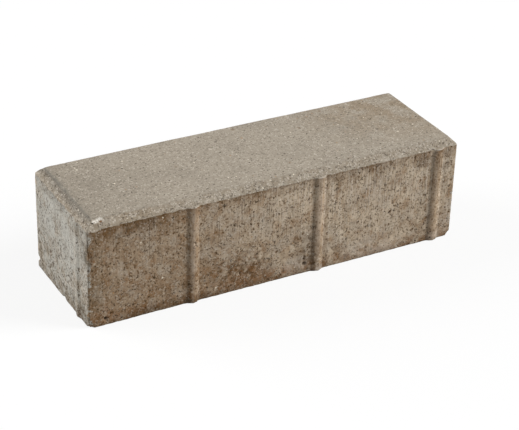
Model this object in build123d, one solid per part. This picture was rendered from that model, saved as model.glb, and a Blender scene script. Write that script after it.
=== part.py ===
from build123d import *
from dataclasses import dataclass
import os

# A long paving sett, pressed from concrete as one piece: a chamfered block with upright spacer ribs.
# Millimetres, +Z up, +X along the block. The origin is the centre of the bottom face.

# Block
LENGTH = 288.0
WIDTH = 90.0
HEIGHT = 80.0
CORNER_RADIUS = 1.0  # the four upright corners

# Chamfer that the press leaves round the walked-on face
CHAMFER_WIDTH = 5.0  # measured inwards from the sides
CHAMFER_DROP = 5.0  # measured down from the top
TOP_CORNER_RADIUS = 1.5  # corners of the walked-on face, inside the chamfer

# Spacer ribs, which keep the joint open between neighbouring setts. A rib's width is taken across its foot,
# before its root is rounded, and the first rib is placed from the right-hand corner of its side, seen from outside.
SIDE_RIB_WIDTH = 9.0
SIDE_RIB_HEIGHT = 2.0
SIDE_RIB_FROM_CORNER = 16.0
END_RIB_WIDTH = 8.0
END_RIB_HEIGHT = 1.0
END_RIB_FROM_CORNER = 18.0
RIB_PITCH = 97.5  # from one rib to the next along a side
RIB_ROOT_RADIUS = 0.8  # hollow round where a rib runs into its side

rib_top = HEIGHT - CHAMFER_DROP  # the ribs end where the chamfer begins
SAME_PLACE = 0.001  # a corner of the plan this near to a rib's circle lies on it


@dataclass(frozen=True)
class Side:
    """One upright side and the ribs along it. Seen from above, each rib is the outer part of a circle."""

    turn: float  # about +Z from the front
    length: float
    from_middle: float  # distance from the middle of the block
    rib_width: float
    rib_height: float
    rib_from_corner: float

    @property
    def rib_radius(self) -> float:
        """The radius of the ribs' circles."""
        return (self.rib_width**2 / 4 + self.rib_height**2) / (2 * self.rib_height)

    def rib_places(self) -> list[Location]:
        """Returns the centres of the ribs' circles, which are set back into the block.

        They are counted from the right-hand corner, so the ribs of two setts laid side by side pass each other.
        """
        count = 1 + int((self.length - 2 * self.rib_from_corner) // RIB_PITCH)
        set_back = self.rib_radius - self.rib_height
        first = self.length / 2 - self.rib_from_corner
        turned = Location((0, 0, 0), (0, 0, self.turn))
        return [turned * Location((first - i * RIB_PITCH, set_back - self.from_middle, 0)) for i in range(count)]

    def rib_roots(self, plan: Sketch) -> list[Vertex]:
        """Returns the corners of the plan where the ribs of this side leave it."""
        centres = [Vertex(*place.position) for place in self.rib_places()]
        return [
            corner
            for corner in plan.vertices()
            if any(abs(corner.distance_to(centre) - self.rib_radius) < SAME_PLACE for centre in centres)
        ]


LONG_RIBS = (SIDE_RIB_WIDTH, SIDE_RIB_HEIGHT, SIDE_RIB_FROM_CORNER)
END_RIBS = (END_RIB_WIDTH, END_RIB_HEIGHT, END_RIB_FROM_CORNER)
SIDES = [
    Side(0, LENGTH, WIDTH / 2, *LONG_RIBS),
    Side(90, WIDTH, LENGTH / 2, *END_RIBS),
    Side(180, LENGTH, WIDTH / 2, *LONG_RIBS),
    Side(270, WIDTH, LENGTH / 2, *END_RIBS),
]


def mould_plan() -> Sketch:
    """Returns the plan of the mould: the block's rectangle with all of its ribs."""
    with BuildSketch() as plan:
        RectangleRounded(LENGTH, WIDTH, CORNER_RADIUS)
        for side in SIDES:
            with Locations(*side.rib_places()):
                Circle(side.rib_radius)
        fillet([root for side in SIDES for root in side.rib_roots(plan.sketch)], RIB_ROOT_RADIUS)
    return plan.sketch


def paving_sett() -> Part:
    """Returns the sett: the mould's plan up to the chamfer, and the tapered cap that the press shapes."""
    with BuildPart() as sett:
        add(mould_plan())
        extrude(amount=rib_top)
        with BuildSketch(Plane.XY.offset(rib_top)):
            RectangleRounded(LENGTH, WIDTH, CORNER_RADIUS)
        with BuildSketch(Plane.XY.offset(HEIGHT)):
            RectangleRounded(LENGTH - 2 * CHAMFER_WIDTH, WIDTH - 2 * CHAMFER_WIDTH, TOP_CORNER_RADIUS)
        loft(ruled=True)
    return sett.part


os.makedirs("parts", exist_ok=True)
export_step(paving_sett(), "parts/paving_sett.step")
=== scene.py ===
"""Looks of a long concrete paving sett: worn, pitted relief, pressed-concrete finish, studio and camera."""
import logging
import math
from dataclasses import dataclass
from enum import Enum
from typing import Any

import bmesh
import bpy
import numpy as np
from mathutils import Matrix, Vector


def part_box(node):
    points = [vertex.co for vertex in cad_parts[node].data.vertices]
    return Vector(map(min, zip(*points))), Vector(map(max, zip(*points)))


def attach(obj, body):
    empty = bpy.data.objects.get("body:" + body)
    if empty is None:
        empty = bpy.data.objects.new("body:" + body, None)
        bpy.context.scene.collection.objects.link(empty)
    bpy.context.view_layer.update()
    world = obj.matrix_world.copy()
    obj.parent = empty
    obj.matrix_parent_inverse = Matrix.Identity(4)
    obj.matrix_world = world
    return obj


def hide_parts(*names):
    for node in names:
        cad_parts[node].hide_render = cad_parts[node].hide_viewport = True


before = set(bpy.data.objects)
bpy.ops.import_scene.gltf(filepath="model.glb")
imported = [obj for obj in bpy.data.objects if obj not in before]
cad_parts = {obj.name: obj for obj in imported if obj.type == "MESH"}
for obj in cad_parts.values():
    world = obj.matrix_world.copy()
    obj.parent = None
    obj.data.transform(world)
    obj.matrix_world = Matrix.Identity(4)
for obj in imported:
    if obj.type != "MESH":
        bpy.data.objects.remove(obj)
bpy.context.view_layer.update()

LOG = logging.getLogger("paving_sett")

MM = 0.001
NODE = "paving_sett"
PLACE = "moulded_place"  # attribute: where a point lay in the mould, in millimetres, before wear moved it
EDGE = "edge_wear"  # attribute: 0 on flat faces, 1 on arrises and corners
HOLLOW = "hollow"  # attribute: 0 on flat faces, 1 in the roots of the ribs
BAKE_MAP = "OFBake"
EVERYWHERE = 900.0  # a reach in millimetres that goes well past the sett
SAME_CORNER = 1e-6  # corners of loose triangles this near, in metres, are one
MID_MASK = 0.5  # the middle of a mask, about which a relief swings in and out

Span = tuple[float, float]
Triple = tuple[float, float, float]

# The patterns use nodes that need no hidden conversion and no hidden clamp, so the renderer works through
# the layers in order and holds few values at a time. These are the node that splits a cell's random colour
# into three draws, by the kind of tree, and the settings of a smooth step, which stays between 0 and 1.
SPLIT = {"GEOMETRY": "FunctionNodeSeparateColor", "SHADER": "ShaderNodeSeparateColor"}
STEP = {"interpolation_type": "SMOOTHSTEP", "clamp": False}
FALLING = {"To Min": 1.0, "To Max": 0.0}  # a ramp that goes down from 1 to 0


def linear(colour: str) -> tuple[float, float, float, float]:
    """Turns an sRGB hex colour into linear red, green, blue and alpha.

    Args:
        colour: six hex digits after a hash sign.

    Returns:
        The four linear values, with alpha 1.
    """
    parts = [int(colour[i : i + 2], 16) / 255 for i in (1, 3, 5)]
    red, green, blue = [p / 12.92 if p <= 0.04045 else ((p + 0.055) / 1.055) ** 2.4 for p in parts]
    return red, green, blue, 1.0


WHITE = linear("#ffffff")


def add(
    tree: bpy.types.NodeTree, kind: str, inputs: dict[Any, Any] | None = None, **settings: Any
) -> bpy.types.Node:
    """Adds a node with its settings, values and links.

    Args:
        tree: the node tree that gets the node.
        kind: the node's type name.
        inputs: socket name or number to a value, a socket, or a node whose first output is linked.
        settings: properties of the node itself.

    Returns:
        The new node.
    """
    node = tree.nodes.new(kind)
    for name, value in settings.items():
        setattr(node, name, value)
    for key, value in (inputs or {}).items():
        named = [s for s in node.inputs if s.enabled and s.name == key]
        socket = node.inputs[key] if isinstance(key, int) else named[0]
        if isinstance(value, bpy.types.Node):
            value = next(s for s in value.outputs if s.enabled)
        if isinstance(value, bpy.types.NodeSocket):
            tree.links.new(value, socket)
        else:
            socket.default_value = value
    return node


def placed(tree: bpy.types.NodeTree, place: Any, scale: Triple, shift: Triple) -> bpy.types.Node:
    """Adds the node that scales a place and then shifts it, in the form that the tree can use.

    Args:
        tree: a geometry or a shader tree.
        place: the place in millimetres, as a node or socket.
        scale: the factor along each axis.
        shift: what is added along each axis.

    Returns:
        The node whose first output is the new place.
    """
    if tree.type == "SHADER":
        return add(tree, "ShaderNodeMapping", {"Vector": place, "Location": shift, "Scale": scale})
    return add(tree, "ShaderNodeVectorMath", {0: place, 1: scale, 2: shift}, operation="MULTIPLY_ADD")


class Side(Enum):
    """The six sides of the sett, as the axis that each faces along and its sign."""

    FRONT = (1, -1)
    BACK = (1, 1)
    LEFT_END = (0, -1)
    RIGHT_END = (0, 1)
    TOP = (2, 1)
    UNDERSIDE = (2, -1)


class Zone(Enum):
    """Parts of the surface that differ in colour."""

    CAP = "walked-on face with its chamfer"
    TOP = "walked-on face"
    CHAMFER = "chamfer"
    LONG_SIDES = "two long sides"
    ENDS = "two ends"
    UPRIGHTS = "long sides and ends"
    UNDERSIDE = "face that lay on the board"
    LIP = "arris of the chamfer, seen from above"
    FOOT = "arris round the underside"
    CORNERS = "upright corners"
    HOLLOWS = "roots of the ribs"


class Tone(Enum):
    """Colours of the paste, its grains and its stains, as sRGB hex values. Some also stand for painted shade
    and painted light.
    """

    TOP_PASTE = "#a49a8b"
    SIDE_PASTE = "#d0bea6"
    END_PASTE = "#b4b0a6"
    BOARD_PASTE = "#9a8d7c"
    GREY_FILM = "#857d70"
    SHADED_FILM = "#64635e"
    LIME_BLOOM = "#c0beb6"
    PALE_PASTE = "#d8cdbf"
    GREY_PASTE = "#b8ab9a"
    PALE_SAND = "#dcd2c4"
    DARK_SAND = "#54493d"
    CREAM_GRAIN = "#f0e6d2"
    TAN_GRAIN = "#a87c48"
    WHITE_BREAK = "#f2ece1"
    EARTH = "#8c7a62"
    DIRT = "#5c4b31"
    BROWN_WASH = "#6f4f2a"
    BROWN_STAIN = "#4d3619"
    OCHRE = "#8a6030"
    RUST = "#80552a"
    SPECK = "#382812"
    PIT = "#2b1d10"


@dataclass(frozen=True)
class Mottle:
    """A pattern that fades in and out over a stated size in millimetres, and may be drawn out up or along.

    Scratches that a mould leaves are 0.1 to 0.4 mm wide, which is too fine to show in the render, so the
    finest streaks are drawn 0.9 mm wide.
    """

    size: float
    low: float
    high: float
    seed: float
    detail: float = 2.0
    tall: float = 1.0
    long: float = 1.0

    def mask(self, tree: bpy.types.NodeTree, place: Any) -> bpy.types.Node:
        """Adds nodes that give 0 where the pattern is absent and 1 where it is full.

        Args:
            tree: a geometry or a shader tree.
            place: the place in millimetres, as a node or socket.

        Returns:
            The node whose first output is the mask.
        """
        scale = (1 / (self.size * self.long), 1 / self.size, 1 / (self.size * self.tall))
        moved = placed(tree, place, scale, (self.seed,) * 3)
        noise = add(tree, "ShaderNodeTexNoise", {"Vector": moved, "Scale": 1.0, "Detail": self.detail})
        cut = {"Value": noise, "From Min": self.low, "From Max": self.high}
        return add(tree, "ShaderNodeMapRange", cut, **STEP)


@dataclass(frozen=True)
class Grains:
    """Close-packed grains of sand that differ in tone, with their size in millimetres.

    Most of the sand in the paste is 0.2 to 0.6 mm across, which is too fine to show in the render, so it is
    drawn 0.8 to 1 mm across. Only the coarse sand laid bare at the feet of the ribs has its real size.
    """

    size: float
    low: float
    high: float
    seed: float

    def mask(self, tree: bpy.types.NodeTree, place: Any) -> bpy.types.Node:
        """Adds nodes that give each grain its own value between 0 and 1.

        Args:
            tree: a geometry or a shader tree.
            place: the place in millimetres, as a node or socket.

        Returns:
            The node whose first output is the mask.
        """
        moved = placed(tree, place, (1 / self.size,) * 3, (self.seed,) * 3)
        cells = add(tree, "ShaderNodeTexVoronoi", {"Vector": moved, "Scale": 1.0})
        draws = add(tree, SPLIT[tree.type], {0: cells.outputs["Color"]})
        cut = {"Value": draws.outputs[0], "From Min": self.low, "From Max": self.high}
        return add(tree, "ShaderNodeMapRange", cut, **STEP)


@dataclass(frozen=True)
class Dots:
    """Crooked round spots scattered over the surface, in millimetres: voids left by air, or loose grains."""

    spacing: float
    share: float
    smallest: float
    largest: float
    seed: float
    core: float = 0.5
    sway: float = 1.2
    bends: float = 0.9  # bends of the outline to each largest radius

    def mask(self, tree: bpy.types.NodeTree, place: Any) -> bpy.types.Node:
        """Adds nodes that give 1 in the middle of a dot and 0 outside.

        Args:
            tree: a geometry or a shader tree.
            place: the place in millimetres, as a node or socket.

        Returns:
            The node whose first output is the mask.
        """
        moved = placed(tree, place, (1 / self.spacing,) * 3, (self.seed,) * 3)
        cells = add(tree, "ShaderNodeTexVoronoi", {"Vector": moved, "Scale": 1.0})
        draws = add(tree, SPLIT[tree.type], {0: cells.outputs["Color"]})
        held = add(tree, "ShaderNodeMath", {0: draws.outputs[0], 1: self.share}, operation="LESS_THAN")
        radius = {"To Min": self.smallest / self.spacing, "To Max": self.largest / self.spacing}
        reach = add(tree, "ShaderNodeMapRange", {"Value": draws.outputs[1], **radius}, clamp=False)
        near = add(tree, "ShaderNodeMath", {0: cells.outputs["Distance"], 1: reach}, operation="DIVIDE")
        wander = {"Vector": moved, "Scale": self.bends * self.spacing / self.largest, "Detail": 1.0}
        sway = add(tree, "ShaderNodeTexNoise", wander)
        crooked = add(tree, "ShaderNodeMath", {0: sway, 1: self.sway, 2: near}, operation="MULTIPLY_ADD")
        edge = {"From Min": self.core + self.sway / 2, "From Max": 1.0 + self.sway / 2}
        fade = {"Value": crooked, **edge, **FALLING}
        bowl = add(tree, "ShaderNodeMapRange", fade, **STEP)
        return add(tree, "ShaderNodeMath", {0: bowl, 1: held}, operation="MULTIPLY")


@dataclass(frozen=True)
class Spot:
    """One place on the sett with a soft outline, in millimetres."""

    at: Triple
    reach: Triple
    core: float = 0.3

    @classmethod
    def band(cls, height: float, reach: float) -> "Spot":
        """Gives a level band right round the sett, at a height and with a reach up and down."""
        return cls((0.0, 0.0, height), (EVERYWHERE, EVERYWHERE, reach))

    def mask(self, tree: bpy.types.NodeTree, place: Any) -> bpy.types.Node:
        """Adds nodes that fade from 1 in the spot's middle to 0 at its reach.

        Args:
            tree: a geometry or a shader tree.
            place: the place in millimetres, as a node or socket.

        Returns:
            The node whose first output is the mask.
        """
        scale = tuple(1 / r for r in self.reach)
        shift = tuple(-a / r for a, r in zip(self.at, self.reach))
        inside = placed(tree, place, scale, shift)
        ball = add(tree, "ShaderNodeTexGradient", {"Vector": inside}, gradient_type="SPHERICAL")
        cut = {"Value": ball.outputs["Fac"], "From Max": 1.0 - self.core}
        return add(tree, "ShaderNodeMapRange", cut, **STEP)


Pattern = Mottle | Grains | Dots | Spot


@dataclass(frozen=True)
class Layer:
    """One colour laid over a zone in a pattern, with the height in millimetres that it gives the bump."""

    zone: Zone
    tone: Tone
    patterns: tuple[Pattern, ...]
    strength: float
    height: float = 0.0


@dataclass(frozen=True)
class Chip:
    """A piece knocked off or pulled out: where, how far, and how the surface is pushed, in millimetres."""

    spot: Spot
    push: Triple


# From here to the finish, the numbers of each pattern stand in the order of its fields.

# Voids that air left in the sides: a few that a fingertip feels, and many pinholes.
BLOW_HOLES = Dots(8.5, 0.14, 0.6, 1.1, 3.7)
PINHOLES = Dots(3.0, 0.34, 0.4, 0.8, 11.3)
# Grains that fell out along the arrises
NIBBLES = Dots(5.0, 0.45, 1.0, 2.2, 15.1)

# The larger single holes of the front
HOLES = (
    Chip(Spot((-132.0, -45.0, 5.0), (1.9, 3.0, 1.9)), (0.0, 1.4, 0.0)),
    Chip(Spot((20.0, -45.0, 7.6), (2.2, 3.0, 2.0)), (0.0, 0.9, 0.0)),
    Chip(Spot((89.0, -45.0, 32.0), (1.1, 3.0, 1.2)), (0.0, 0.8, 0.0)),
    Chip(Spot((93.0, -45.0, 32.6), (1.1, 3.0, 1.0)), (0.0, 0.8, 0.0)),
)

# What was knocked off the arrises and corners
CHIPS = (
    Chip(Spot((-134.6, -41.0, 79.4), (5.0, 2.6, 2.6)), (0.0, 0.5, -0.8)),
    Chip(Spot((-138.5, -45.0, 75.0), (7.0, 3.0, 3.0)), (0.0, 0.1, -0.9)),
    Chip(Spot((-144.0, -45.0, 53.0), (4.5, 7.0, 8.0)), (0.9, 0.5, 0.0)),
    Chip(Spot((-144.0, -45.0, 0.0), (4.5, 4.5, 4.5)), (0.8, 0.8, 0.7)),
    Chip(Spot((-144.0, 45.0, 7.3), (4.0, 4.0, 3.0)), (1.0, -1.0, 0.0)),
    Chip(Spot((-144.0, -2.5, 0.0), (3.0, 4.0, 3.0)), (0.6, 0.0, 0.5)),
    Chip(Spot((-144.0, 0.0, 75.0), (4.5, 70.0, 4.5)), (0.5, 0.0, -0.5)),
    Chip(Spot((-139.0, 0.0, 80.0), (5.0, 70.0, 4.0)), (0.0, 0.0, -0.35)),
    Chip(Spot((144.0, -45.0, 0.0), (4.0, 4.0, 4.0)), (-0.9, 0.9, 0.8)),
)

# Sandy, pressed paste: nearly even, with single pale and dark grains. It is browner towards one end.
TOP_LAYERS = (
    Layer(Zone.TOP, Tone.GREY_FILM, (Mottle(34, 0.45, 0.70, 1.3),), 0.22),
    Layer(Zone.TOP, Tone.GREY_FILM, (Spot((-150, 0, 80), (95, 80, 40)),), 0.30),
    Layer(
        Zone.TOP, Tone.EARTH, (Spot((150, 22, 80), (120, 70, 40)), Mottle(14, 0.30, 0.6, 1.7, 3.0)), 0.70,
    ),
    Layer(Zone.TOP, Tone.PALE_SAND, (Mottle(1.5, 0.5, 0.7, 2.9, 3.0, 1.0, 2.5),), 0.12),
    Layer(Zone.TOP, Tone.DARK_SAND, (Mottle(1.3, 0.5, 0.7, 5.1, 3.0, 1.0, 2.5),), 0.16),
    Layer(Zone.TOP, Tone.PALE_SAND, (Grains(0.8, 0.84, 1.0, 2.3),), 0.50),
    Layer(Zone.TOP, Tone.DARK_SAND, (Grains(0.8, 0.80, 1.0, 4.7),), 0.62, -0.03),
    Layer(
        Zone.TOP, Tone.BROWN_WASH, (Dots(15, 0.6, 1.2, 2.6, 33.3, 0.1), Mottle(2.2, 0.3, 0.6, 5.7)), 0.60,
    ),
    Layer(Zone.TOP, Tone.TAN_GRAIN, (Dots(6.5, 0.35, 0.45, 0.95, 27.7),), 0.60),
    Layer(Zone.TOP, Tone.CREAM_GRAIN, (Dots(5.5, 0.30, 0.4, 0.85, 21.1),), 1.00),
    Layer(Zone.TOP, Tone.SPECK, (Dots(3.6, 0.42, 0.4, 0.85, 31.7),), 0.86, -0.15),
)

# The chamfer is rougher and browner than the face, with its sand laid bare. At one end it is greyer with
# painted shade, as is the face's margin there, and along its arris lie pale sand and a painted highlight.
CHAMFER_LAYERS = (
    Layer(Zone.CHAMFER, Tone.EARTH, (Mottle(6, 0.3, 0.65, 3.3, 3.0),), 0.37),
    Layer(Zone.CHAMFER, Tone.PALE_SAND, (Mottle(5, 0.48, 0.64, 36.4, 4.0),), 0.20),
    # Painted shade over the chamfer and the face's margin at the left end.
    Layer(Zone.CHAMFER, Tone.SHADED_FILM, (Spot((-139, 0, 80), (7, 80, 7)),), 0.42),
    Layer(Zone.TOP, Tone.SHADED_FILM, (Spot((-140, 0, 80), (3.4, 80, 4), 0.5),), 0.32),
    Layer(
        Zone.CHAMFER, Tone.EARTH, (Spot((-112, -43, 78), (46, 6, 6)), Mottle(7, 0.3, 0.6, 4.3, 3.0)), 0.40,
    ),
    # More painted shade over the face's margin at the left end.
    Layer(
        Zone.TOP, Tone.SHADED_FILM, (Spot((-141, 0, 80), (8, 80, 8)), Mottle(7, 0.3, 0.6, 5.9, 3.0)), 0.30,
    ),
    Layer(Zone.CHAMFER, Tone.PALE_SAND, (Grains(0.8, 0.70, 1.0, 6.1),), 0.60),
    Layer(Zone.CHAMFER, Tone.DARK_SAND, (Grains(0.9, 0.72, 1.0, 8.9),), 0.72, -0.06),
    Layer(Zone.CHAMFER, Tone.CREAM_GRAIN, (Dots(3.6, 0.36, 0.35, 0.75, 22.1),), 0.90),
    Layer(Zone.CHAMFER, Tone.SPECK, (Dots(3.0, 0.36, 0.35, 0.7, 32.7),), 0.75),
    # Pale sand along the chamfer's arris, with a painted highlight on its lip.
    Layer(Zone.LIP, Tone.PALE_SAND, (Mottle(1.4, 0.34, 0.58, 37.1, 2.0),), 0.60),
    Layer(
        Zone.CAP, Tone.WHITE_BREAK,
        (Spot((-136.4, -41.4, 79.2), (3.2, 1.6, 2.0), 0.5), Mottle(1.3, 0.34, 0.52, 7.3)), 0.80,
    ),
    Layer(
        Zone.CAP, Tone.WHITE_BREAK,
        (Spot((-133.0, -40.4, 79.6), (3.0, 1.5, 1.9), 0.5), Mottle(1.3, 0.34, 0.52, 7.3)), 0.85,
    ),
    Layer(Zone.CAP, Tone.RUST, (Spot((-132.4, -41.6, 78.5), (1.2, 1.2, 1.2)),), 0.80),
    # Painted shade of two pits on the chamfer.
    Layer(Zone.CAP, Tone.PIT, (Spot((-138.3, -41.7, 78.3), (1.1, 1.1, 1.1)),), 0.80),
    Layer(Zone.CAP, Tone.PIT, (Spot((-142.0, -35.4, 77.0), (1.2, 1.2, 1.2)),), 0.80),
)

# Browner sides: darker under the chamfer, along the foot and towards one end, with rusty clouds low down and
# by the corner.
SIDE_LAYERS = (
    # Darker towards the left end.
    Layer(Zone.LONG_SIDES, Tone.BROWN_WASH, (Spot((-150, -45, 35), (200, 30, 110)),), 0.54),
    Layer(Zone.LONG_SIDES, Tone.BROWN_WASH, (Mottle(20, 0.42, 0.65, 7.7, 4.0),), 0.28),
    Layer(Zone.LONG_SIDES, Tone.BROWN_WASH, (Mottle(9, 0.40, 0.66, 9.7, 6.0), Spot.band(0, 46)), 0.48),
    Layer(Zone.LONG_SIDES, Tone.BROWN_WASH, (Mottle(5, 0.50, 0.66, 10.7, 6.0, 1.2),), 0.36),
    Layer(Zone.LONG_SIDES, Tone.OCHRE, (Mottle(7, 0.50, 0.66, 12.2, 6.0),), 0.38),
    Layer(
        Zone.LONG_SIDES, Tone.GREY_PASTE,
        (Spot((-34, -45, 50), (36, 8, 30), 0.0), Mottle(8, 0.40, 0.6, 12.9, 4.0, 1.5)), 0.40,
    ),
    Layer(Zone.LONG_SIDES, Tone.GREY_PASTE, (Mottle(8, 0.48, 0.64, 14.2, 5.0, 1.3),), 0.46),
    Layer(
        Zone.LONG_SIDES, Tone.BROWN_STAIN,
        (Spot((-112, -46, 77), (48, 8, 19)), Mottle(6, 0.3, 0.56, 4.1, 4.0, 1.5)), 0.62,
    ),
    Layer(
        Zone.LONG_SIDES, Tone.BROWN_STAIN,
        (Spot((70, -46, 78), (62, 8, 18)), Mottle(6, 0.35, 0.62, 4.1, 4.0, 1.5)), 0.50,
    ),
    Layer(
        Zone.LONG_SIDES, Tone.BROWN_STAIN,
        (Spot((116, -46, 68), (10, 8, 11)), Mottle(3, 0.3, 0.6, 4.6, 3.0)), 0.65,
    ),
    Layer(
        Zone.LONG_SIDES, Tone.BROWN_STAIN,
        (Spot((131, -46, 58), (13, 8, 26)), Mottle(7, 0.38, 0.6, 4.9, 4.0)), 0.50,
    ),
    # Darker just under the chamfer.
    Layer(Zone.LONG_SIDES, Tone.BROWN_WASH, (Spot.band(77, 14), Mottle(8, 0.30, 0.60, 8.3, 4.0)), 0.50),
    Layer(
        Zone.LONG_SIDES, Tone.RUST,
        (Spot((-140, -45, 50), (7, 8, 16)), Mottle(4, 0.42, 0.6, 3.9, 4.0)), 0.60,
    ),
    Layer(
        Zone.LONG_SIDES, Tone.RUST,
        (Spot((-134, -45, 8), (12, 8, 12)), Mottle(4, 0.42, 0.6, 6.2, 4.0)), 0.55,
    ),
    Layer(
        Zone.LONG_SIDES, Tone.BROWN_STAIN,
        (Spot((-30, -45, 16), (32, 8, 19)), Mottle(4, 0.42, 0.6, 2.2, 5.0)), 0.78,
    ),
    Layer(
        Zone.LONG_SIDES, Tone.RUST,
        (Spot((-35, -45, 18), (34, 8, 20)), Mottle(4, 0.47, 0.62, 3.2, 4.0)), 0.40,
    ),
    Layer(
        Zone.LONG_SIDES, Tone.RUST, (Spot((0, -45, 4), (16, 8, 9)), Mottle(4, 0.42, 0.62, 5.2, 4.0)), 0.70,
    ),
    Layer(
        Zone.LONG_SIDES, Tone.BROWN_STAIN,
        (Spot((26, -46, 9), (15, 8, 22)), Mottle(5, 0.35, 0.58, 6.6, 4.0)), 0.65,
    ),
    Layer(
        Zone.LONG_SIDES, Tone.RUST,
        (Spot((-25, -45, 8), (26, 8, 13)), Mottle(5, 0.38, 0.6, 7.6, 4.0)), 0.42,
    ),
    Layer(
        Zone.LONG_SIDES, Tone.DIRT,
        (Spot((-139, -45, 36), (9, 8, 60)), Mottle(5, 0.25, 0.55, 8.6, 3.0)), 0.36,
    ),
    Layer(Zone.LONG_SIDES, Tone.RUST, (Spot.band(0, 13), Mottle(6, 0.35, 0.6, 9.6, 4.0)), 0.55),
    Layer(Zone.LONG_SIDES, Tone.SPECK, (Spot.band(-1, 6), Mottle(6, 0.32, 0.6, 10.6, 4.0)), 0.34),
    Layer(
        Zone.LONG_SIDES, Tone.SPECK,
        (Spot((-86, -45, -1), (54, 8, 11)), Mottle(5, 0.32, 0.6, 12.4, 4.0)), 0.60,
    ),
    Layer(
        Zone.LONG_SIDES, Tone.BROWN_STAIN,
        (Spot((22, -46, 24), (14, 8, 26)), Mottle(4, 0.36, 0.6, 13.4, 4.0)), 0.42,
    ),
    Layer(
        Zone.LONG_SIDES, Tone.BROWN_STAIN,
        (Spot((121, -46, 24), (13, 8, 26)), Mottle(4, 0.36, 0.6, 14.4, 4.0)), 0.42,
    ),
    Layer(
        Zone.LONG_SIDES, Tone.BROWN_STAIN,
        (Spot((16, -46, 74), (24, 8, 9)), Mottle(4, 0.36, 0.6, 15.4, 4.0)), 0.45,
    ),
    Layer(
        Zone.LONG_SIDES, Tone.PALE_PASTE,
        (Spot((140, -45, 16), (7, 8, 15)), Mottle(4, 0.3, 0.6, 16.4, 3.0)), 0.45,
    ),
    Layer(
        Zone.LONG_SIDES, Tone.END_PASTE,
        (Spot((-145, -45, 70), (6, 6, 9)), Mottle(3, 0.3, 0.5, 17.4, 3.0)), 0.50,
    ),
    Layer(Zone.LONG_SIDES, Tone.BROWN_WASH, (Spot((150, 45, 35), (200, 30, 110)),), 0.50),
    Layer(
        Zone.LONG_SIDES, Tone.BROWN_STAIN,
        (Spot((-50, 46, 77), (70, 8, 17)), Mottle(6, 0.35, 0.6, 11.6, 4.0, 1.5)), 0.50,
    ),
    Layer(
        Zone.LONG_SIDES, Tone.RUST,
        (Spot((60, 46, 12), (50, 8, 20)), Mottle(5, 0.42, 0.62, 12.6, 4.0)), 0.50,
    ),
    Layer(
        Zone.LONG_SIDES, Tone.CREAM_GRAIN,
        (Spot((-67, -47, 5), (6, 4, 8)), Grains(1.7, 0.70, 0.8, 3.1)), 0.60,
    ),
    Layer(
        Zone.LONG_SIDES, Tone.CREAM_GRAIN,
        (Spot((30, -47, 8), (6, 4, 11)), Grains(1.8, 0.70, 0.8, 4.2)), 0.55,
    ),
)

# Greyer ends with a pale bloom of lime, brown clouds and painted shade of pits low down, a painted shadow
# line beside the rib with pale paste and a painted highlight along the rib's edge, and painted shade under
# the chamfer and by the front corner.
END_LAYERS = (
    Layer(Zone.ENDS, Tone.EARTH, (Mottle(8, 0.48, 0.60, 4.4, 6.0),), 0.45),
    Layer(Zone.ENDS, Tone.DIRT, (Mottle(7, 0.50, 0.60, 5.4, 6.0), Spot.band(8, 45)), 0.55),
    Layer(Zone.ENDS, Tone.PALE_PASTE, (Mottle(5, 0.52, 0.62, 6.3, 6.0),), 0.35),
    Layer(
        Zone.ENDS, Tone.LIME_BLOOM,
        (Spot((-144, 6, 54), (14, 52, 26)), Mottle(12, 0.33, 0.58, 6.8, 4.0)), 0.84,
    ),
    Layer(
        Zone.ENDS, Tone.LIME_BLOOM,
        (Spot((-144, -14, 36), (14, 14, 26)), Mottle(9, 0.35, 0.6, 8.8, 4.0)), 0.60,
    ),
    Layer(
        Zone.ENDS, Tone.PALE_PASTE,
        (Spot((-143, -39, 30), (6, 8, 22)), Mottle(5, 0.35, 0.55, 7.8, 4.0, 1.8)), 0.30,
    ),
    # A painted shadow line beside the rib, low down and high up.
    Layer(
        Zone.ENDS, Tone.DIRT,
        (Spot((-145, -30, 14), (5, 4.4, 24)), Mottle(6, 0.34, 0.58, 9.8, 4.0, 2.0)), 0.50,
    ),
    Layer(
        Zone.ENDS, Tone.DIRT,
        (Spot((-145, -30, 64), (5, 4.4, 16)), Mottle(6, 0.34, 0.58, 11.8, 4.0, 2.0)), 0.36,
    ),
    Layer(Zone.ENDS, Tone.DIRT, (Spot((-144, -40, 6), (6, 11, 26)), Mottle(4, 0.36, 0.6, 12.8, 4.0)), 0.36),
    Layer(
        Zone.ENDS, Tone.BROWN_STAIN,
        (Spot((-145, -31, 3), (5, 6, 12)), Mottle(4, 0.36, 0.58, 8.5, 4.0)), 0.60,
    ),
    # Pale paste and a painted highlight down the edge of the end's rib.
    Layer(
        Zone.ENDS, Tone.PALE_PASTE,
        (Spot((-145.5, -26, 34), (5, 2.4, 60)), Mottle(6, 0.42, 0.6, 3.8, 4.0, 2.0)), 0.30,
    ),
    Layer(Zone.ENDS, Tone.DIRT, (Spot((-144, -43, 55), (4, 6.5, 11)), Mottle(3, 0.3, 0.5, 2.8, 4.0)), 0.75),
    Layer(
        Zone.ENDS, Tone.DIRT, (Spot((-144, -21, 13), (6, 7, 10)), Mottle(4, 0.34, 0.58, 13.8, 4.0)), 0.42,
    ),
    Layer(
        Zone.ENDS, Tone.LIME_BLOOM,
        (Spot((-144, -31, 36), (6, 9, 10)), Mottle(5, 0.30, 0.55, 14.8, 4.0)), 0.42,
    ),
    # Painted shade under the chamfer at the left end, and beside its front corner.
    Layer(
        Zone.ENDS, Tone.SHADED_FILM,
        (Spot((-144, 0, 78), (9, 80, 13)), Mottle(7, 0.3, 0.6, 6.9, 3.0)), 0.50,
    ),
    Layer(
        Zone.ENDS, Tone.SHADED_FILM,
        (Spot((-144, -38, 62), (9, 9, 22)), Mottle(5, 0.3, 0.6, 7.9, 3.0)), 0.34,
    ),
    # Painted shade of pits low down.
    Layer(Zone.ENDS, Tone.SPECK, (Dots(3.0, 0.44, 0.5, 1.15, 61.3), Spot.band(14, 50)), 0.80),
)
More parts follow.
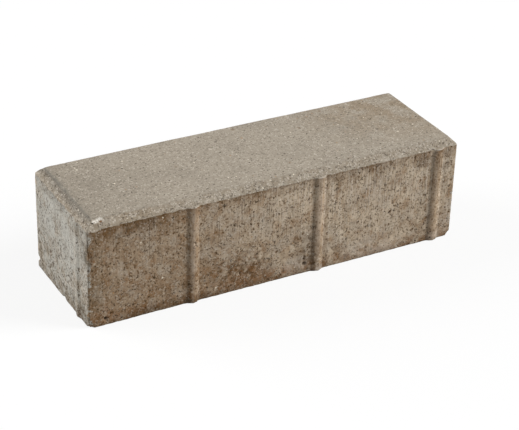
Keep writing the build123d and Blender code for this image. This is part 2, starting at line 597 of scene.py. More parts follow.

# What the upright sides share: thin streaks that the mould drew, loose sand, single grains, and pinholes with
# painted shade in them; also painted shade in the roots of the ribs, and on the long sides a painted shadow
# under the chamfer's arris.
UPRIGHT_LAYERS = (
    Layer(
        Zone.UPRIGHTS, Tone.PALE_PASTE,
        (Mottle(0.9, 0.50, 0.64, 13.9, 1.0, 36), Spot((70, 0, 62), (150, 200, 66), 0.3)), 0.40, 0.03,
    ),
    Layer(
        Zone.UPRIGHTS, Tone.BROWN_STAIN,
        (Mottle(0.9, 0.53, 0.65, 17.3, 2.0, 16), Spot.band(78, 66), Mottle(12, 0.33, 0.58, 18.9)), 0.50,
    ),
    Layer(
        Zone.UPRIGHTS, Tone.SPECK,
        (Mottle(2.0, 0.58, 0.66, 19.5, 3.0, 1.4), Mottle(7, 0.36, 0.58, 20.1, 3.0)), 0.88, -0.12,
    ),
    Layer(Zone.UPRIGHTS, Tone.SPECK, (Mottle(1.2, 0.59, 0.67, 21.5, 2.0, 1.5),), 0.50),
    Layer(Zone.UPRIGHTS, Tone.PALE_PASTE, (Mottle(2.8, 0.52, 0.74, 23.1, 4.0),), 0.15),
    Layer(Zone.UPRIGHTS, Tone.PALE_SAND, (Grains(1.0, 0.76, 1.0, 25.9),), 0.30),
    Layer(Zone.UPRIGHTS, Tone.BROWN_STAIN, (Grains(1.0, 0.74, 1.0, 28.3),), 0.60, -0.05),
    # Darker along the foot.
    Layer(Zone.UPRIGHTS, Tone.BROWN_STAIN, (Spot.band(-1, 10), Mottle(8, 0.38, 0.6, 16.1, 5.0)), 0.34),
    Layer(Zone.UPRIGHTS, Tone.CREAM_GRAIN, (Dots(8.0, 0.18, 0.5, 1.0, 41.3),), 0.75),
    Layer(Zone.UPRIGHTS, Tone.TAN_GRAIN, (Dots(8.0, 0.26, 0.5, 1.1, 47.9),), 0.65),
    Layer(Zone.CORNERS, Tone.BROWN_WASH, (Mottle(5, 0.30, 0.60, 33.3, 3.0, 1.8),), 0.40),
    # Painted shade in the roots of the ribs.
    Layer(Zone.HOLLOWS, Tone.BROWN_STAIN, (Mottle(6, 0.25, 0.6, 35.3, 3.0, 2.0),), 0.30),
    Layer(Zone.FOOT, Tone.SPECK, (Mottle(4, 0.3, 0.6, 39.1, 3.0),), 0.70),
    # A painted shadow right under the chamfer's arris.
    Layer(Zone.LONG_SIDES, Tone.BROWN_STAIN, (Spot.band(75, 2.6), Mottle(6, 0.3, 0.55, 45.1, 3.0)), 0.40),
    Layer(
        Zone.LONG_SIDES, Tone.BROWN_WASH,
        (Dots(4.0, 0.50, 1.2, 2.5, 57.7, 0.0), Mottle(10, 0.46, 0.60, 46.1, 3.0)), 0.66,
    ),
    Layer(
        Zone.LONG_SIDES, Tone.BROWN_WASH,
        (Dots(2.6, 0.50, 0.9, 1.8, 51.7, 0.0), Mottle(7, 0.46, 0.60, 44.1, 3.0)), 0.62,
    ),
    Layer(
        Zone.UPRIGHTS, Tone.SPECK,
        (Dots(2.6, 0.50, 0.5, 1.0, 51.7, 0.4, 1.8), Mottle(7, 0.46, 0.60, 44.1, 3.0)), 0.86, -0.10,
    ),
    Layer(
        Zone.UPRIGHTS, Tone.BROWN_STAIN,
        (Dots(4.0, 0.50, 0.7, 1.5, 57.7, 0.3, 1.8), Mottle(10, 0.46, 0.60, 46.1, 3.0)), 0.86, -0.10,
    ),
    # Painted shade inside the pinholes.
    Layer(Zone.UPRIGHTS, Tone.SPECK, (PINHOLES, Mottle(13, 0.42, 0.60, 43.1, 3.0)), 0.60, -0.15),
    Layer(
        Zone.LONG_SIDES, Tone.SPECK,
        (Dots(1.9, 0.34, 0.35, 0.8, 53.3), Mottle(9, 0.42, 0.58, 54.1, 3.0)), 0.88,
    ),
)

# On the front: tan crests of the ribs with painted light on them, worn pale patches, bare sand along the
# foot, and painted shade of pits there.
WORN_LAYERS = (
    # Painted light on the crests of the ribs.
    Layer(Zone.LONG_SIDES, Tone.PALE_PASTE, (Spot((-67.9, -47, 42), (2.4, 3, 52), 0.4),), 0.24),
    Layer(Zone.LONG_SIDES, Tone.PALE_PASTE, (Spot((29.8, -47, 42), (3.2, 3, 52), 0.4),), 0.24),
    Layer(
        Zone.LONG_SIDES, Tone.BROWN_WASH,
        (Spot((36.4, -45, 38), (2.8, 4, 52), 0.3), Mottle(5, 0.25, 0.5, 18.4, 3.0)), 0.34,
    ),
    # Painted light on the crest of the third rib.
    Layer(Zone.LONG_SIDES, Tone.PALE_PASTE, (Spot((125.0, -46, 42), (4, 3, 52), 0.4),), 0.14),
    Layer(Zone.LONG_SIDES, Tone.TAN_GRAIN, (Spot((-66.5, -47, 40), (5, 3, 70), 0.4),), 0.15),
    Layer(Zone.LONG_SIDES, Tone.TAN_GRAIN, (Spot((30.5, -47, 40), (5, 3, 70), 0.4),), 0.20),
    Layer(Zone.LONG_SIDES, Tone.TAN_GRAIN, (Spot((126.6, -47, 40), (5, 3, 70), 0.4),), 0.24),
    Layer(
        Zone.LONG_SIDES, Tone.PALE_PASTE,
        (Spot((76, -45, 8), (30, 8, 14)), Mottle(5, 0.30, 0.6, 47.4, 4.0)), 0.32,
    ),
    Layer(
        Zone.LONG_SIDES, Tone.PALE_PASTE,
        (Spot((12, -45, 9), (13, 8, 9)), Mottle(4, 0.30, 0.6, 48.4, 4.0)), 0.34,
    ),
    Layer(
        Zone.LONG_SIDES, Tone.PALE_PASTE,
        (Spot((129, -47, 3), (9, 5, 9)), Mottle(4, 0.25, 0.5, 49.4, 3.0)), 0.36,
    ),
    Layer(
        Zone.LONG_SIDES, Tone.PALE_PASTE,
        (Spot((32, -47, 1.5), (6, 4, 5)), Mottle(3, 0.25, 0.5, 50.4, 3.0)), 0.46,
    ),
    Layer(
        Zone.LONG_SIDES, Tone.PALE_PASTE,
        (Spot((84, -45, 54), (34, 8, 14)), Mottle(9, 0.35, 0.6, 52.4, 4.0)), 0.18,
    ),
    # Painted shade of pits along the foot.
    Layer(Zone.LONG_SIDES, Tone.PIT, (Dots(2.2, 0.40, 0.4, 0.95, 55.9), Spot.band(2, 14)), 0.80),
    Layer(Zone.LONG_SIDES, Tone.CREAM_GRAIN, (Dots(3.4, 0.22, 0.35, 0.8, 58.3), Spot.band(3, 14)), 0.70),
)

# Painted shade inside the voids, and a last thin bloom of lime over an end.
VOID_LAYERS = (
    Layer(Zone.UPRIGHTS, Tone.PIT, (BLOW_HOLES,), 0.60),
    *(Layer(Zone.UPRIGHTS, Tone.PIT, (hole.spot,), 0.70) for hole in HOLES),
    Layer(
        Zone.ENDS, Tone.LIME_BLOOM,
        (Spot((-144, 8, 56), (14, 60, 34)), Mottle(12, 0.30, 0.55, 6.8, 4.0)), 0.17,
    ),
)

# The face that lay on the board: flat and even, with drying marks, pits and a little loose sand.
UNDERSIDE_LAYERS = (
    Layer(Zone.UNDERSIDE, Tone.EARTH, (Mottle(26, 0.40, 0.65, 3.6, 4.0),), 0.50),
    Layer(Zone.UNDERSIDE, Tone.PALE_PASTE, (Mottle(15, 0.50, 0.68, 5.6, 5.0),), 0.30),
    Layer(Zone.UNDERSIDE, Tone.BROWN_STAIN, (Mottle(2.4, 0.54, 0.70, 7.1, 4.0),), 0.35),
    Layer(Zone.UNDERSIDE, Tone.PALE_SAND, (Grains(1.0, 0.75, 1.0, 9.4),), 0.40),
    Layer(Zone.UNDERSIDE, Tone.CREAM_GRAIN, (Dots(6.0, 0.30, 0.5, 1.1, 11.9),), 0.75),
    Layer(
        Zone.UNDERSIDE, Tone.SPECK,
        (Dots(4.0, 0.40, 0.5, 1.2, 13.3), Mottle(12, 0.38, 0.58, 15.4, 3.0)), 0.85,
    ),
)


@dataclass(frozen=True)
class PressedConcrete:
    """Bare concrete, pressed nearly dry in a steel mould and stripped at once. Lengths in millimetres.

    The eye sees sandy paste that is fine and pale on top, and browner sides that the mould has dragged into
    upright streaks, with pinholes, washed-out cement and a few pale or rusty grains.
    """

    name: str = "pressed_concrete"
    roughness: Span = (0.86, 0.97)  # bare, and under dust
    dust: Mottle = Mottle(4.0, 0.3, 0.7, 29.3)
    gloss: float = 0.25
    border: Mottle = Mottle(5.0, 0.3, 0.7, 8.1, 3.0)  # how the borders between the pastes wander
    arris_swing: float = 0.9  # how far the top's paste wanders over the chamfer's arris
    arris_drop: float = 0.5  # how far the top's paste comes down over that arris
    arris_blend: float = 0.15  # half of the soft border there
    corner_swing: float = 7.0  # how far an end's paste wanders round its upright corners
    corner_blend: float = 0.5  # half of the soft border there
    top_depth: Span = (0.9, 0.2)  # under the top, where the chamfer gives way and where the flat face is full
    board_height: Span = (0.05, 0.5)  # up to which the underside's paste is full, and where it ends
    foot_height: Span = (1.2, 2.6)  # up to which the foot's arris is full, and where it ends
    lip_height: Span = (1.6, 2.6)  # above the chamfer's arris, up to which its lip is full, and where it ends
    corner_margin: float = 3.0  # what the upright corners leave free at the foot and under the chamfer
    layers: tuple[Layer, ...] = (
        TOP_LAYERS
        + CHAMFER_LAYERS
        + SIDE_LAYERS
        + END_LAYERS
        + UPRIGHT_LAYERS
        + WORN_LAYERS
        + VOID_LAYERS
        + UNDERSIDE_LAYERS
    )

    def zones(self, tree: bpy.types.NodeTree, place: Any, sett: "SettSizes") -> dict[Zone, Any]:
        """Adds the masks of the zones.

        Args:
            tree: the material's tree.
            place: the place in the mould, in millimetres.
            sett: the sett's sizes.

        Returns:
            Each zone and the node of its mask.
        """
        axes = add(tree, "ShaderNodeSeparateXYZ", {0: place})
        rise = axes.outputs[2]
        ragged = self.border.mask(tree, place)
        swung = {0: ragged, 1: self.arris_swing, 2: rise}
        height = add(tree, "ShaderNodeMath", swung, operation="MULTIPLY_ADD")
        along = add(tree, "ShaderNodeMath", {0: axes.outputs[0]}, operation="ABSOLUTE")
        across = add(tree, "ShaderNodeMath", {0: axes.outputs[1]}, operation="ABSOLUTE")
        endwards = add(tree, "ShaderNodeMath", {0: along, 1: across}, operation="SUBTRACT")
        swung = {0: ragged, 1: self.corner_swing, 2: endwards}
        endwards = add(tree, "ShaderNodeMath", swung, operation="MULTIPLY_ADD")
        arris = sett.rim + self.arris_swing / 2 - self.arris_drop
        over = {"Value": height, "From Min": arris - self.arris_blend, "From Max": arris + self.arris_blend}
        cap = add(tree, "ShaderNodeMapRange", over)
        chamfer_end, top_start = (sett.height - depth for depth in self.top_depth)
        level = {"Value": rise, "From Min": chamfer_end, "From Max": top_start}
        flat = add(tree, "ShaderNodeMapRange", level)
        top = add(tree, "ShaderNodeMath", {0: cap, 1: flat}, operation="MULTIPLY")
        chamfer = add(tree, "ShaderNodeMath", {0: cap, 1: top}, operation="SUBTRACT")
        full, gone = self.board_height
        lying = {"Value": rise, "From Min": full, "From Max": gone, **FALLING}
        underside = add(tree, "ShaderNodeMapRange", lying)
        upright = add(tree, "ShaderNodeMath", {0: 1.0, 1: cap}, operation="SUBTRACT")
        standing = {0: upright, 1: underside}
        upright = add(tree, "ShaderNodeMath", standing, operation="SUBTRACT", use_clamp=True)
        corner = sett.half_length - sett.half_width + self.corner_swing / 2
        past = {"From Min": corner - self.corner_blend, "From Max": corner + self.corner_blend}
        outer = add(tree, "ShaderNodeMapRange", {"Value": endwards, **past})
        ends = add(tree, "ShaderNodeMath", {0: outer, 1: upright}, operation="MULTIPLY")
        sides = add(tree, "ShaderNodeMath", {0: upright, 1: ends}, operation="SUBTRACT")
        edges = add(tree, "ShaderNodeAttribute", attribute_name=EDGE).outputs["Fac"]
        hollows = add(tree, "ShaderNodeAttribute", attribute_name=HOLLOW).outputs["Fac"]
        full, gone = self.foot_height
        low = {"Value": rise, "From Min": full, "From Max": gone, **FALLING}
        low = add(tree, "ShaderNodeMapRange", low)
        foot = add(tree, "ShaderNodeMath", {0: edges, 1: low}, operation="MULTIPLY")
        full, gone = (sett.rim + above for above in self.lip_height)
        below = {"Value": rise, "From Min": full, "From Max": gone, **FALLING}
        below = add(tree, "ShaderNodeMapRange", below)
        lip = add(tree, "ShaderNodeMath", {0: edges, 1: below}, operation="MULTIPLY")
        lip = add(tree, "ShaderNodeMath", {0: lip, 1: cap}, operation="MULTIPLY")
        inner = add(tree, "ShaderNodeMath", {0: 1.0, 1: outer}, operation="SUBTRACT")
        lip = add(tree, "ShaderNodeMath", {0: lip, 1: inner}, operation="MULTIPLY")
        between = {0: rise, 1: sett.rim / 2, 2: sett.rim / 2 - self.corner_margin}
        between = add(tree, "ShaderNodeMath", between, operation="COMPARE")
        corners = add(tree, "ShaderNodeMath", {0: edges, 1: between}, operation="MULTIPLY")
        return {
            Zone.CAP: cap,
            Zone.TOP: top,
            Zone.CHAMFER: chamfer,
            Zone.LONG_SIDES: sides,
            Zone.ENDS: ends,
            Zone.UPRIGHTS: upright,
            Zone.UNDERSIDE: underside,
            Zone.LIP: lip,
            Zone.FOOT: foot,
            Zone.CORNERS: corners,
            Zone.HOLLOWS: hollows,
        }

    def material(self, sett: "SettSizes") -> bpy.types.Material:
        """Builds the material.

        Args:
            sett: the sett's sizes.

        Returns:
            The finished material.
        """
        material = bpy.data.materials.new(self.name)
        material.use_nodes = True
        tree = material.node_tree
        tree.nodes.clear()
        place = add(tree, "ShaderNodeAttribute", attribute_name=PLACE).outputs["Vector"]
        zones = self.zones(tree, place, sett)
        colour: Any = linear(Tone.SIDE_PASTE.value)
        for zone, tone in (
            (Zone.ENDS, Tone.END_PASTE),
            (Zone.CAP, Tone.TOP_PASTE),
            (Zone.UNDERSIDE, Tone.BOARD_PASTE),
        ):
            ground = {"Factor": zones[zone], "A": colour, "B": linear(tone.value)}
            colour = add(tree, "ShaderNodeMix", ground, data_type="RGBA")
        height: Any = 0.0
        for layer in self.layers:
            mask = zones[layer.zone]
            for pattern in layer.patterns:
                shape = pattern.mask(tree, place)
                mask = add(tree, "ShaderNodeMath", {0: shape, 1: mask}, operation="MULTIPLY")
            share = add(tree, "ShaderNodeMath", {0: mask, 1: layer.strength}, operation="MULTIPLY")
            laid = {"Factor": share, "A": colour, "B": linear(layer.tone.value)}
            colour = add(tree, "ShaderNodeMix", laid, data_type="RGBA")
            if layer.height:
                raised = {0: mask, 1: layer.height, 2: height}
                height = add(tree, "ShaderNodeMath", raised, operation="MULTIPLY_ADD")
        bump = add(tree, "ShaderNodeBump", {"Strength": 1.0, "Distance": MM, "Height": height})
        bare, dusty = self.roughness
        rough = {"Value": self.dust.mask(tree, place), "To Min": bare, "To Max": dusty}
        rough = add(tree, "ShaderNodeMapRange", rough)
        surface = {"Base Color": colour, "Roughness": rough, "Specular IOR Level": self.gloss, "Normal": bump}
        shader = add(tree, "ShaderNodeBsdfPrincipled", surface)
        add(tree, "ShaderNodeOutputMaterial", {"Surface": shader})
        return material


@dataclass(frozen=True)
class SettSizes:
    """Sizes of the block without its ribs, in millimetres."""

    half_length: float
    half_width: float
    height: float
    chamfer: float = 5.0

    @property
    def rim(self) -> float:
        """Height of the arris between the chamfer and the sides."""
        return self.height - self.chamfer

    @classmethod
    def from_frame(cls, end_rib: float, side_rib: float) -> "SettSizes":
        """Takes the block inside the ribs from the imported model.

        Args:
            end_rib: how far a rib stands out of an end.
            side_rib: how far a rib stands out of a long side.

        Returns:
            The sizes of the block.
        """
        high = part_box(NODE)[1]
        return cls(high[0] / MM - end_rib, high[1] / MM - side_rib, high[2] / MM)


@dataclass(frozen=True)
class Relief:
    """The uneven surface of the pressed block, as heights and sizes in millimetres."""

    wave: float = 0.30
    lumps: float = 0.12
    sand: float = 0.13
    drag: float = 0.10
    blow_hole: float = 1.2
    pinhole: float = 0.7
    nibble: float = 0.12
    wear: float = 0.55  # the most worn arris goes this share of the way to its rounded form
    waves: Mottle = Mottle(55, 0.2, 0.8, 0.4)
    lumpy: Mottle = Mottle(7, 0.2, 0.8, 1.9, 3.0)
    sandy: Mottle = Mottle(1.9, 0.2, 0.8, 2.3)
    dragged: Mottle = Mottle(2.2, 0.3, 0.7, 13.9, 2.0, 16)
    bites: Mottle = Mottle(6, 0.3, 0.65, 6.1, 3.0)
    rounds: int = 5  # of blur, which give an arris its rounded form
    facing_rounds: int = 2  # of blur, which even out the direction that heights go in
    proud_arris: Span = (0.12, 0.35)  # how far an arris stands out of its rounded form: barely, and fully
    sunk_root: Span = (-0.03, -0.2)  # the same for the hollow root of a rib
    upright_tilt: Span = (0.2, 0.5)  # upward part of the surface's direction: fully upright, and no longer
    flat_tilt: Span = (0.75, 0.98)  # no longer sloping, and flat
    flat_share: float = 0.3  # of the lumps and sand, on the flat faces
    chips: tuple[Chip, ...] = HOLES + CHIPS

    def tree(self) -> bpy.types.GeometryNodeTree:
        """Builds the node tree that wears, drags and pits a fine mesh of the block.

        Returns:
            The tree, with a named input for each height.
        """
        tree = bpy.data.node_groups.new("pressed_relief", "GeometryNodeTree")
        tree.interface.new_socket("Geometry", in_out="INPUT", socket_type="NodeSocketGeometry")
        for name in self.heights():
            tree.interface.new_socket(name, in_out="INPUT", socket_type="NodeSocketFloat")
        tree.interface.new_socket("Finish", in_out="INPUT", socket_type="NodeSocketMaterial")
        tree.interface.new_socket("Geometry", in_out="OUTPUT", socket_type="NodeSocketGeometry")
        given = add(tree, "NodeGroupInput").outputs
        position = add(tree, "GeometryNodeInputPosition")
        normal = add(tree, "GeometryNodeInputNormal")
        place = add(tree, "ShaderNodeVectorMath", {0: position, "Scale": 1 / MM}, operation="SCALE")
        blur = {"Value": place, "Iterations": self.rounds}
        soft = add(tree, "GeometryNodeBlurAttribute", blur, data_type="FLOAT_VECTOR")
        blur = {"Value": normal, "Iterations": self.facing_rounds}
        facing = add(tree, "GeometryNodeBlurAttribute", blur, data_type="FLOAT_VECTOR")
        inward = add(tree, "ShaderNodeVectorMath", {0: place, 1: soft}, operation="SUBTRACT")
        proud = add(tree, "ShaderNodeVectorMath", {0: inward, 1: normal}, operation="DOT_PRODUCT")
        proud = proud.outputs["Value"]
        convex = {"Value": proud, "From Min": self.proud_arris[0], "From Max": self.proud_arris[1]}
        edge = add(tree, "ShaderNodeMapRange", convex, interpolation_type="SMOOTHSTEP")
        concave = {"Value": proud, "From Min": self.sunk_root[0], "From Max": self.sunk_root[1]}
        hollow = add(tree, "ShaderNodeMapRange", concave, interpolation_type="SMOOTHSTEP")
        tilt = add(tree, "ShaderNodeSeparateXYZ", {0: facing}).outputs[2]
        tilt = add(tree, "ShaderNodeMath", {0: tilt}, operation="ABSOLUTE")
        standing = {"Value": tilt, "From Min": self.upright_tilt[0], "From Max": self.upright_tilt[1]}
        upright = add(tree, "ShaderNodeMapRange", {**standing, **FALLING})
        sloping = {"Value": tilt, "From Min": self.flat_tilt[0], "From Max": self.flat_tilt[1]}
        rough = add(tree, "ShaderNodeMapRange", {**sloping, "To Min": 1.0, "To Max": self.flat_share})
        height: Any = 0.0
        for name, mottle, where in (
            ("Wave", self.waves, 1.0),
            ("Lumps", self.lumpy, rough),
            ("Sand", self.sandy, rough),
            ("Drag", self.dragged, upright),
        ):
            centred = {0: mottle.mask(tree, place), 1: MID_MASK}
            centred = add(tree, "ShaderNodeMath", centred, operation="SUBTRACT")
            swing = add(tree, "ShaderNodeMath", {0: given[name], 1: where}, operation="MULTIPLY")
            height = add(tree, "ShaderNodeMath", {0: centred, 1: swing, 2: height}, operation="MULTIPLY_ADD")
        for name, dots, where in (
            ("Blow Hole", BLOW_HOLES, upright),
            ("Pinhole", PINHOLES, upright),
            ("Nibble", NIBBLES, edge),
        ):
            depth = add(tree, "ShaderNodeMath", {0: given[name], 1: where}, operation="MULTIPLY")
            sunk = add(tree, "ShaderNodeMath", {0: dots.mask(tree, place), 1: depth}, operation="MULTIPLY")
            height = add(tree, "ShaderNodeMath", {0: height, 1: sunk}, operation="SUBTRACT")
        bitten = self.bites.mask(tree, place)
        bitten = add(tree, "ShaderNodeMath", {0: bitten, 1: given["Wear"]}, operation="MULTIPLY")
        bitten = add(tree, "ShaderNodeMath", {0: bitten, 1: edge}, operation="MULTIPLY")
        worn = add(tree, "ShaderNodeMix", {"Factor": bitten, "A": place, "B": soft}, data_type="VECTOR")
        raised = add(tree, "ShaderNodeVectorMath", {0: facing, "Scale": height}, operation="SCALE")
        worn = add(tree, "ShaderNodeVectorMath", {0: worn, 1: raised}, operation="ADD")
        for chip in self.chips:
            gone = {0: chip.push, "Scale": chip.spot.mask(tree, place)}
            gone = add(tree, "ShaderNodeVectorMath", gone, operation="SCALE")
            worn = add(tree, "ShaderNodeVectorMath", {0: worn, 1: gone}, operation="ADD")
        lowest = (-EVERYWHERE, -EVERYWHERE, 0.0)
        worn = add(tree, "ShaderNodeVectorMath", {0: worn, 1: lowest}, operation="MAXIMUM")
        metres = add(tree, "ShaderNodeVectorMath", {0: worn, "Scale": MM}, operation="SCALE")
        kept = {"Geometry": given["Geometry"], "Name": PLACE, "Value": place}
        kept = add(tree, "GeometryNodeStoreNamedAttribute", kept, data_type="FLOAT_VECTOR", domain="POINT")
        for name, value in ((EDGE, edge), (HOLLOW, hollow)):
            kept = {"Geometry": kept, "Name": name, "Value": value}
            kept = add(tree, "GeometryNodeStoreNamedAttribute", kept, data_type="FLOAT", domain="POINT")
        moved = add(tree, "GeometryNodeSetPosition", {"Geometry": kept, "Position": metres})
        smooth = add(tree, "GeometryNodeSetShadeSmooth", {"Geometry": moved, "Shade Smooth": True})
        whole = add(tree, "GeometryNodeRealizeInstances", {"Geometry": smooth})
        dressed = add(tree, "GeometryNodeSetMaterial", {"Geometry": whole, "Material": given["Finish"]})
        add(tree, "NodeGroupOutput", {"Geometry": dressed})
        return tree

    def heights(self) -> dict[str, float]:
        """Gives each named input of the tree its height in millimetres, and the wear its share."""
        return {
            "Wave": self.wave,
            "Lumps": self.lumps,
            "Sand": self.sand,
            "Drag": self.drag,
            "Blow Hole": self.blow_hole,
            "Pinhole": self.pinhole,
            "Nibble": self.nibble,
            "Wear": self.wear,
        }


@dataclass
class PavingSett:
    """The block itself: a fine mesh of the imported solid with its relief, finish and bake map.

    Lengths in millimetres.
    """

    end_rib: float = 1.0  # how far a rib stands out of an end
    side_rib: float = 2.0  # how far a rib stands out of a long side
    voxel: float = 0.7  # how fine the mesh is before it is thinned
    triangles: int = 194000
    map_gap: float = 4.0  # between the sides on the bake map
    finish: PressedConcrete = PressedConcrete()
    relief: Relief = Relief()

    def build(self) -> bpy.types.Object:
        """Returns:
            The piece's object.
        """
        sizes = SettSizes.from_frame(self.end_rib, self.side_rib)
        rough = bpy.data.objects.new("sett_blank", self.blank())
        bpy.context.scene.collection.objects.link(rough)
        self.shape(rough, self.finish.material(sizes))
        fine = self.plain_mesh(rough)
        rough.modifiers.clear()
        rough.data = fine
        thin = rough.modifiers.new("triangle_count", "DECIMATE")
        thin.ratio = self.triangles / sum(len(p.vertices) - 2 for p in fine.polygons)
        mesh = self.plain_mesh(rough)
        bpy.data.objects.remove(rough)
        piece = bpy.data.objects.new("pressed_sett", mesh)
        bpy.context.scene.collection.objects.link(piece)
        self.lay_map(mesh, sizes)
        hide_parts(NODE)
        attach(piece, "root")
        return piece

    def plain_mesh(self, rough: bpy.types.Object) -> bpy.types.Mesh:
        """Gives the object's mesh as its modifiers leave it."""
        graph = bpy.context.evaluated_depsgraph_get()
        shaped = rough.evaluated_get(graph)
        return bpy.data.meshes.new_from_object(shaped, preserve_all_data_layers=True, depsgraph=graph)

    def blank(self) -> bpy.types.Mesh:
        """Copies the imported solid's mesh and joins its loose triangles."""
        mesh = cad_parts[NODE].data.copy()
        solid = bmesh.new()
        solid.from_mesh(mesh)
        bmesh.ops.remove_doubles(solid, verts=solid.verts, dist=SAME_CORNER)
        solid.to_mesh(mesh)
        mesh.materials.clear()
        solid.free()
        return mesh

    def shape(self, rough: bpy.types.Object, finish: bpy.types.Material) -> None:
        """Adds the modifiers that make the fine mesh and its relief.

        Args:
            rough: the object that holds the blank.
            finish: the material that the tree gives the surface.
        """
        fine = rough.modifiers.new("fine_mesh", "REMESH")
        fine.mode = "VOXEL"
        fine.voxel_size = self.voxel * MM
        relief = rough.modifiers.new("relief", "NODES")
        relief.node_group = self.relief.tree()
        listed = relief.node_group.interface.items_tree
        sockets = {s.name: s.identifier for s in listed if s.in_out == "INPUT"}
        for name, height in self.relief.heights().items():
            relief[sockets[name]] = height
        relief[sockets["Finish"]] = finish

    def lay_map(self, mesh: bpy.types.Mesh, sizes: SettSizes) -> None:
        """Lays the bake map: the six sides, each flat and at one scale, side by side.

        Args:
            mesh: the finished mesh, which carries the place of each point in the mould.
            sizes: the sett's sizes.
        """
        count = len(mesh.vertices)
        place = np.empty(count * 3, dtype=np.float32)
        mesh.attributes[PLACE].data.foreach_get("vector", place)
        place = place.reshape(count, 3)
        corners = np.empty(len(mesh.loops), dtype=np.int32)
        mesh.loops.foreach_get("vertex_index", corners)
        starts = np.empty(len(mesh.polygons), dtype=np.int32)
        mesh.polygons.foreach_get("loop_start", starts)
        totals = np.empty(len(mesh.polygons), dtype=np.int32)
        mesh.polygons.foreach_get("loop_total", totals)
        owner = np.repeat(np.arange(len(totals)), totals)
        middle = np.add.reduceat(place[corners], starts, axis=0) / totals[:, None]
        half = np.array([sizes.half_length, sizes.half_width, sizes.height / 2])
        away = middle - np.array([0.0, 0.0, sizes.height / 2])
        depth = np.stack([side.value[1] * away[:, side.value[0]] - half[side.value[0]] for side in Side])
        nearest = depth.argmax(axis=0)[owner]
        spread = np.empty((len(corners), 2), dtype=np.float32)
        wide = 2 * (sizes.half_length + self.end_rib) + self.map_gap
        narrow = 2 * (sizes.half_width + self.side_rib) + self.map_gap
        tall = sizes.height + self.map_gap
        row = self.map_gap / 2
        rows = {}
        for side in (Side.FRONT, Side.BACK, Side.TOP, Side.UNDERSIDE):
            room = narrow if side in (Side.TOP, Side.UNDERSIDE) else tall
            rows[side] = (wide / 2, row + room / 2)
            row += room
        rows[Side.LEFT_END] = (wide + narrow / 2, tall / 2)
        rows[Side.RIGHT_END] = (wide + narrow / 2, tall + tall / 2)
        centred = place - np.array([0.0, 0.0, sizes.height / 2], dtype=np.float32)
        for index, side in enumerate(Side):
            across, up = [axis for axis in range(3) if axis != side.value[0]]
            here = nearest == index
            spread[here, 0] = centred[corners[here], across] + rows[side][0]
            spread[here, 1] = centred[corners[here], up] + rows[side][1]
        spread /= np.array([wide + narrow, row + self.map_gap / 2], dtype=np.float32)
        mesh.uv_layers.new(name=BAKE_MAP).data.foreach_set("uv", spread.ravel())


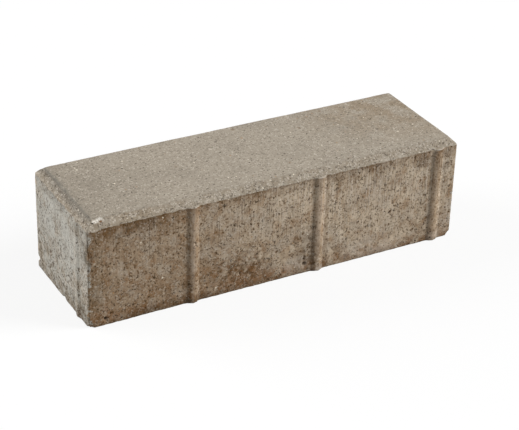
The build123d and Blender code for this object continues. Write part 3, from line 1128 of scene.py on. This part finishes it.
@dataclass
class Studio:
    """Pale floor, soft lamps and the camera. Lengths in millimetres and angles in degrees."""

    floor_half: float = 4000.0
    floor_glow: float = 0.85
    floor_bounce: str = "#a09e9a"
    sky: float = 0.28
    key: float = 0.94
    key_turn: float = 61.0
    key_rise: float = 30.0
    key_spread: float = 30.0
    fill: float = 0.80
    fill_turn: float = -128.0
    fill_rise: float = 20.0
    fill_spread: float = 45.0
    aim: Triple = (12.5, 7.34, 22.01)
    distance: float = 1197.4
    azimuth: float = 29.3663
    elevation: float = 29.6515
    roll: float = -1.8594
    lens: float = 115.009
    sensor: float = 36.0
    sight: float = 100000.0  # how far the camera sees

    def seen(self, tree: bpy.types.NodeTree) -> bpy.types.Node:
        """Adds nodes that give 1 to what the camera sees, straight or by reflection, and 0 to other light."""
        path = add(tree, "ShaderNodeLightPath").outputs
        shiny = {0: path["Is Glossy Ray"], 1: path["Is Transmission Ray"]}
        shiny = add(tree, "ShaderNodeMath", shiny, operation="MAXIMUM")
        return add(tree, "ShaderNodeMath", {0: path["Is Camera Ray"], 1: shiny}, operation="MAXIMUM")

    def floor(self) -> None:
        """Lays the floor: white to the camera, darker in the light that it throws back."""
        half = self.floor_half * MM
        mesh = bpy.data.meshes.new("floor")
        corners = [(-half, -half, 0), (half, -half, 0), (half, half, 0), (-half, half, 0)]
        mesh.from_pydata(corners, [], [(0, 1, 2, 3)])
        floor = bpy.data.objects.new("floor", mesh)
        bpy.context.scene.collection.objects.link(floor)
        # Matt white paper: nothing shows on it but the soft shadow of what stands there.
        material = bpy.data.materials.new("white_paper_floor")
        material.use_nodes = True
        tree = material.node_tree
        tree.nodes.clear()
        seen = self.seen(tree)
        tint = {"Factor": seen, "A": linear(self.floor_bounce), "B": WHITE}
        paper = add(tree, "ShaderNodeMix", tint, data_type="RGBA")
        matt = {"Base Color": paper, "Roughness": 1.0, "Specular IOR Level": 0.0}
        shader = add(tree, "ShaderNodeBsdfPrincipled", matt)
        share = add(tree, "ShaderNodeMath", {0: seen, 1: self.floor_glow}, operation="MULTIPLY")
        glow = add(tree, "ShaderNodeEmission", {"Color": WHITE, "Strength": 1.0})
        shader = add(tree, "ShaderNodeMixShader", {0: share, 1: shader, 2: glow})
        add(tree, "ShaderNodeOutputMaterial", {"Surface": shader})
        mesh.materials.append(material)

    def lamp(self, name: str, level: float, turn: float, rise: float, spread: float) -> None:
        """Adds a broad, far lamp.

        Args:
            name: the lamp's name.
            level: the brightness it gives a white surface that faces it.
            turn: its direction seen from the sett, in degrees from the front towards the right.
            rise: its height, in degrees above the floor.
            spread: how broad it looks from the sett, in degrees.
        """
        lamp = bpy.data.lights.new(name, "SUN")
        lamp.energy = level * math.pi
        lamp.angle = math.radians(spread)
        body = bpy.data.objects.new(name, lamp)
        turn, rise = math.radians(turn), math.radians(rise)
        towards = Vector((math.sin(turn) * math.cos(rise), -math.cos(turn) * math.cos(rise), math.sin(rise)))
        body.rotation_euler = towards.to_track_quat("Z", "Y").to_euler()
        body.location = towards
        bpy.context.scene.collection.objects.link(body)

    def world(self) -> None:
        """Makes an even sky that is white behind the object and dimmer as light."""
        world = bpy.data.worlds.new("studio_sky")
        world.use_nodes = True
        tree = world.node_tree
        tree.nodes.clear()
        level = {"Value": self.seen(tree), "To Min": self.sky, "To Max": 1.0}
        level = add(tree, "ShaderNodeMapRange", level)
        sky = add(tree, "ShaderNodeBackground", {"Color": WHITE, "Strength": level})
        add(tree, "ShaderNodeOutputWorld", {"Surface": sky})
        bpy.context.scene.world = world

    def camera(self) -> None:
        """Places the camera at the photograph's viewing angle."""
        azimuth, elevation = math.radians(self.azimuth), math.radians(self.elevation)
        flat = math.cos(elevation)
        forward = Vector((math.sin(azimuth) * flat, math.cos(azimuth) * flat, -math.sin(elevation)))
        level = forward.cross(Vector((0, 0, 1))).normalized()
        right = Matrix.Rotation(math.radians(self.roll), 3, forward) @ level
        up = right.cross(forward)
        data = bpy.data.cameras.new("camera")
        data.sensor_width = self.sensor
        data.lens = self.lens
        data.clip_end = self.sight * MM
        camera = bpy.data.objects.new("camera", data)
        turned = Matrix((right, up, -forward)).transposed().to_4x4()
        camera.matrix_world = Matrix.Translation((Vector(self.aim) - forward * self.distance) * MM) @ turned
        bpy.context.scene.collection.objects.link(camera)
        bpy.context.scene.camera = camera

    def build(self) -> None:
        """Sets up the floor, the light and the camera."""
        self.floor()
        self.lamp("key_lamp", self.key, self.key_turn, self.key_rise, self.key_spread)
        self.lamp("fill_lamp", self.fill, self.fill_turn, self.fill_rise, self.fill_spread)
        self.world()
        self.camera()
        bpy.context.scene.view_settings.view_transform = "Standard"


def main() -> None:
    """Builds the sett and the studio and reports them."""
    piece = PavingSett().build()
    LOG.info("%s: %d triangles", piece.name, sum(len(p.vertices) - 2 for p in piece.data.polygons))
    Studio().build()
    LOG.info("studio: floor, two lamps, sky and camera")


if __name__ == "__main__":
    logging.basicConfig(level=logging.INFO, format="%(name)s: %(message)s")
    main()
